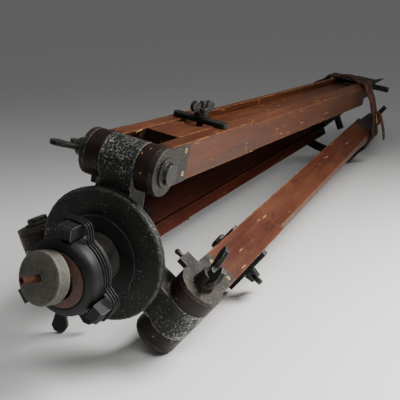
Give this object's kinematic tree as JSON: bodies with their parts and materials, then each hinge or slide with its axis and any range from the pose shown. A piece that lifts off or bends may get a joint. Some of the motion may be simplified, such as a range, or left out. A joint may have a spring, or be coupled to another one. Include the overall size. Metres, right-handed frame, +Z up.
{
  "type": "surveyor tripod",
  "caption": "Folding wooden surveyor tripod with sliding lower legs, iron feet, a disc head and a ball-jointed top plate, strapped shut and lying on its side.",
  "frame": {"origin": "bottom centre of the bounding box of the folded tripod as it lies on the ground", "axes": "+Z up; the legs run along +Y, so the head is at -Y and the feet at +Y; +X is to the right seen from the head"},
  "size_m": [0.2758, 1.3442, 0.2503],
  "materials": {
    "black_iron": "black forged iron",
    "black_steel": "satin black paint",
    "brass": "dull brass",
    "cast_iron": "black crackle paint worn to grey iron on the edges",
    "fibre": "red-brown vulcanised fibre",
    "grey_metal": "mottled grey, chipped at the edge",
    "gunmetal": "dark blued steel, satin, lightly worn",
    "leather": "dark brown strap leather, dry and creased",
    "rusty_steel": "brown rust",
    "wood": "orange-brown varnished hardwood with darker scars and lighter worn edges"
  },
  "bodies": {
    "head": {"head_casting": "cast_iron", "seat_plate": "black_steel", "socket_stem": "gunmetal", "stem_nut": "gunmetal", "socket_collar": "black_steel"},
    "clamp_ring": {"clamp_ring": "gunmetal"},
    "sleeve": {"fibre_sleeve": "fibre"},
    "ball": {"ball": "gunmetal"},
    "top_plate": {"stud": "rusty_steel", "end_cap": "grey_metal"},
    "strap": {"strap": "leather", "strap_buckle": "brass", "strap_tail": "leather"},
    "leg_1": {"stile_bolt_side_1": "wood", "stile_nut_side_1": "wood", "spacer_block_1": "wood", "hinge_plate_bolt_side_1": "gunmetal", "hinge_plate_nut_side_1": "gunmetal", "hinge_bolt_1": "gunmetal", "cross_bolt_1": "gunmetal"},
    "wing_nut_1": {"wing_nut_1": "gunmetal"},
    "lower_leg_1": {"lower_leg_1": "wood", "foot_iron_1": "black_iron", "clamp_bolt_1": "gunmetal", "clamp_bar_1": "black_steel", "clamp_plate_1": "black_steel"},
    "clamp_knob_1": {"clamp_knob_1": "gunmetal"},
    "leg_2": {"stile_bolt_side_2": "wood", "stile_nut_side_2": "wood", "spacer_block_2": "wood", "hinge_plate_bolt_side_2": "gunmetal", "hinge_plate_nut_side_2": "gunmetal", "hinge_bolt_2": "gunmetal", "cross_bolt_2": "gunmetal"},
    "wing_nut_2": {"wing_nut_2": "gunmetal"},
    "lower_leg_2": {"lower_leg_2": "wood", "foot_iron_2": "black_iron", "clamp_bolt_2": "gunmetal", "clamp_bar_2": "black_steel", "clamp_plate_2": "black_steel"},
    "clamp_knob_2": {"clamp_knob_2": "gunmetal"},
    "leg_3": {"stile_bolt_side_3": "wood", "stile_nut_side_3": "wood", "spacer_block_3": "wood", "hinge_plate_bolt_side_3": "gunmetal", "hinge_plate_nut_side_3": "gunmetal", "hinge_bolt_3": "gunmetal", "cross_bolt_3": "gunmetal"},
    "wing_nut_3": {"wing_nut_3": "gunmetal"},
    "lower_leg_3": {"lower_leg_3": "wood", "foot_iron_3": "black_iron", "clamp_bolt_3": "gunmetal", "clamp_bar_3": "black_steel", "clamp_plate_3": "black_steel"},
    "clamp_knob_3": {"clamp_knob_3": "gunmetal"}
  },
  "joints": [
    {"name": "clamp_ring_turn", "type": "hinge", "parent": "head", "child": "clamp_ring", "pos_m": [-0.00056, -0.60118, 0.1201], "axis": [0, -0.9996, 0.029], "range_deg": [0, 270]},
    {"name": "sleeve_turn", "type": "hinge", "parent": "head", "child": "sleeve", "pos_m": [-0.00056, -0.62117, 0.12068], "axis": [0, -0.9996, 0.029], "continuous": true},
    {"name": "plate_tilt", "type": "hinge", "parent": "sleeve", "child": "ball", "pos_m": [-0.00056, -0.61318, 0.12045], "axis": [0.9195, 0.0114, 0.3928], "range_deg": [0, 31.2]},
    {"name": "plate_turn", "type": "hinge", "parent": "ball", "child": "top_plate", "pos_m": [-0.00056, -0.61318, 0.12045], "axis": [-0.1057, -0.9556, 0.2751], "continuous": true},
    {"name": "leg_1_spread", "type": "hinge", "parent": "head", "child": "leg_1", "pos_m": [0.02121, -0.51445, 0.21297], "axis": [0.975, -0.0164, -0.2217], "range_deg": [0, 32]},
    {"name": "leg_1_slide", "type": "slide", "parent": "leg_1", "child": "lower_leg_1", "axis": [-0.0008, 0.997, -0.0771], "range_m": [0, 0.5]},
    {"name": "wing_nut_1_turn", "type": "hinge", "parent": "leg_1", "child": "wing_nut_1", "pos_m": [-0.0329, -0.51355, 0.22528], "axis": [-0.975, 0.0164, 0.2217], "range_deg": [0, 540]},
    {"name": "clamp_knob_1_turn", "type": "hinge", "parent": "lower_leg_1", "child": "clamp_knob_1", "pos_m": [0.02886, -0.3493, 0.23444], "axis": [0.2223, 0.0753, 0.9721], "range_deg": [0, 540]},
    {"name": "leg_2_spread", "type": "hinge", "parent": "head", "child": "leg_2", "pos_m": [0.07113, -0.51914, 0.05117], "axis": [-0.6798, -0.0312, -0.7327], "range_deg": [0, 32]},
    {"name": "leg_2_slide", "type": "slide", "parent": "leg_2", "child": "lower_leg_2", "axis": [-0.0413, 0.9991, -0.0042], "range_m": [0, 0.5]},
    {"name": "wing_nut_2_turn", "type": "hinge", "parent": "leg_2", "child": "wing_nut_2", "pos_m": [0.10886, -0.51741, 0.09184], "axis": [0.6798, 0.0312, 0.7327], "range_deg": [0, 540]},
    {"name": "clamp_knob_2_turn", "type": "hinge", "parent": "lower_leg_2", "child": "clamp_knob_2", "pos_m": [0.09002, -0.35532, 0.02667], "axis": [0.7322, 0.0274, -0.6805], "range_deg": [0, 540]},
    {"name": "leg_3_spread", "type": "hinge", "parent": "head", "child": "leg_3", "pos_m": [-0.09402, -0.51805, 0.08886], "axis": [-0.2951, 0.0177, 0.9553], "range_deg": [0, 32]},
    {"name": "leg_3_slide", "type": "slide", "parent": "leg_3", "child": "lower_leg_3", "axis": [0.0421, 0.9991, -0.0056], "range_m": [0, 0.5]},
    {"name": "wing_nut_3_turn", "type": "hinge", "parent": "leg_3", "child": "wing_nut_3", "pos_m": [-0.07764, -0.51904, 0.03584], "axis": [0.2951, -0.0177, -0.9553], "range_deg": [0, 540]},
    {"name": "clamp_knob_3_turn", "type": "hinge", "parent": "lower_leg_3", "child": "clamp_knob_3", "pos_m": [-0.12057, -0.35385, 0.0776], "axis": [-0.9545, 0.0386, -0.2956], "range_deg": [0, 540]},
    {"name": "strap_off", "type": "slide", "parent": "head", "child": "strap", "axis": [0, 0.9996, -0.029], "range_m": [0, 0.36], "deforming": ["strap", "strap_tail"]}
  ]
}
